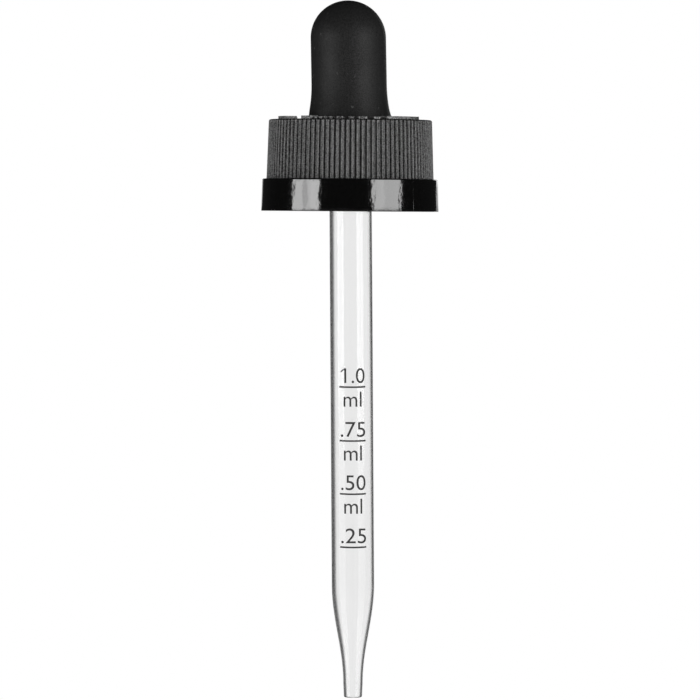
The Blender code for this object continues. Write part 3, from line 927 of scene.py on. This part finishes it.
def studio_world():
    """White to the camera and through glass, a white backdrop in a dim room in reflections, and soft fill."""
    world = bpy.data.worlds.new("studio")
    bpy.context.scene.world = world
    world.use_nodes = True
    tree = world.node_tree
    sky = tree.nodes["Background"]
    sky.inputs["Color"].default_value = (1, 1, 1, 1)
    way = split_xyz(tree, tree.nodes.new("ShaderNodeTexCoord").outputs["Generated"])
    above = map_range(tree, way["Z"], BACKDROP_FOOT, (DARK_ROOM, BACKDROP_LEVEL))
    backdrop = map_range(tree, way["Y"], BACKDROP_EDGE, (DARK_ROOM, above))
    room = map_range(tree, is_ray(tree, "Is Glossy Ray"), (0, 1), (FILL_LIGHT, backdrop))
    level = map_range(tree, is_ray(tree, "Is Camera Ray", "Is Transmission Ray"), (0, 1), (room, 1))
    tree.links.new(level, sky.inputs["Strength"])


def pale_floor():
    """A floor well under the tip that keeps a faint shadow and looks white, also through glass."""
    bm = bmesh.new()
    bmesh.ops.create_grid(bm, x_segments=1, y_segments=1, size=FLOOR_SIDE / 2)
    bmesh.ops.translate(bm, verts=bm.verts, vec=(0, 0, TIP_Z - FLOOR_DROP))
    material = bpy.data.materials.new("floor")
    material.use_nodes = True
    tree = material.node_tree
    tree.nodes.remove(tree.nodes["Principled BSDF"])
    paint = tree.nodes.new("ShaderNodeBsdfDiffuse")
    paint.inputs["Color"].default_value = (FLOOR_GREY, FLOOR_GREY, FLOOR_GREY, 1)
    glow = tree.nodes.new("ShaderNodeEmission")
    seen = is_ray(tree, "Is Camera Ray", "Is Transmission Ray")
    tree.links.new(map_range(tree, seen, (0, 1), (0, FLOOR_GLOW)), glow.inputs["Strength"])
    both = tree.nodes.new("ShaderNodeAddShader")
    tree.links.new(paint.outputs[0], both.inputs[0])
    tree.links.new(glow.outputs[0], both.inputs[1])
    tree.links.new(both.outputs[0], tree.nodes["Material Output"].inputs["Surface"])
    floor = new_piece(mesh_from(bm, "floor"), material)


def softbox(name, azimuth, distance, width, heights, radiance, across, upward):
    """A rectangular lamp that faces the axis, with a brightness profile each way."""
    low, high = heights
    data = bpy.data.lights.new(name, "AREA")
    data.shape = "RECTANGLE"
    data.size = width
    data.size_y = high - low
    data.energy = radiance * math.pi * data.size * data.size_y
    data.use_nodes = True
    tree = data.node_tree
    place = split_xyz(tree, tree.nodes.new("ShaderNodeNewGeometry").outputs["Parametric"])
    level = tree.nodes.new("ShaderNodeMath")
    level.operation = "MULTIPLY"
    for factor, axis, stops in ((0, "X", across), (1, "Y", upward)):
        ramp = tree.nodes.new("ShaderNodeValToRGB")
        ramp.color_ramp.interpolation = "EASE"
        fill_ramp(ramp, stops)
        tree.links.new(place[axis], ramp.inputs["Fac"])
        tree.links.new(ramp.outputs["Color"], level.inputs[factor])
    tree.links.new(level.outputs["Value"], tree.nodes["Emission"].inputs["Strength"])
    lamp = bpy.data.objects.new(name, data)
    angle = math.radians(azimuth)
    middle = (low + high) / 2
    lamp.location = (distance * math.sin(angle), -distance * math.cos(angle), middle)
    facing = Vector((0, 0, middle)) - lamp.location
    lamp.rotation_euler = facing.to_track_quat("-Z", "Y").to_euler()
    lamp.visible_camera = False
    lamp.visible_transmission = False
    bpy.context.scene.collection.objects.link(lamp)


camera()
studio_world()
pale_floor()
for lamp in LAMPS:
    softbox(**lamp)
rubber_bulb(rubber_material())
textured = textured_plastic()
plain = plain_plastic()
outer_cap(textured, glossy_plastic(), plain)
cap_marks(textured)
inner_cap(plain)
glass_pipette(clear_glass(), bore_glass())
printed_scale(scale_ink())

bpy.context.scene.view_settings.view_transform = "Standard"
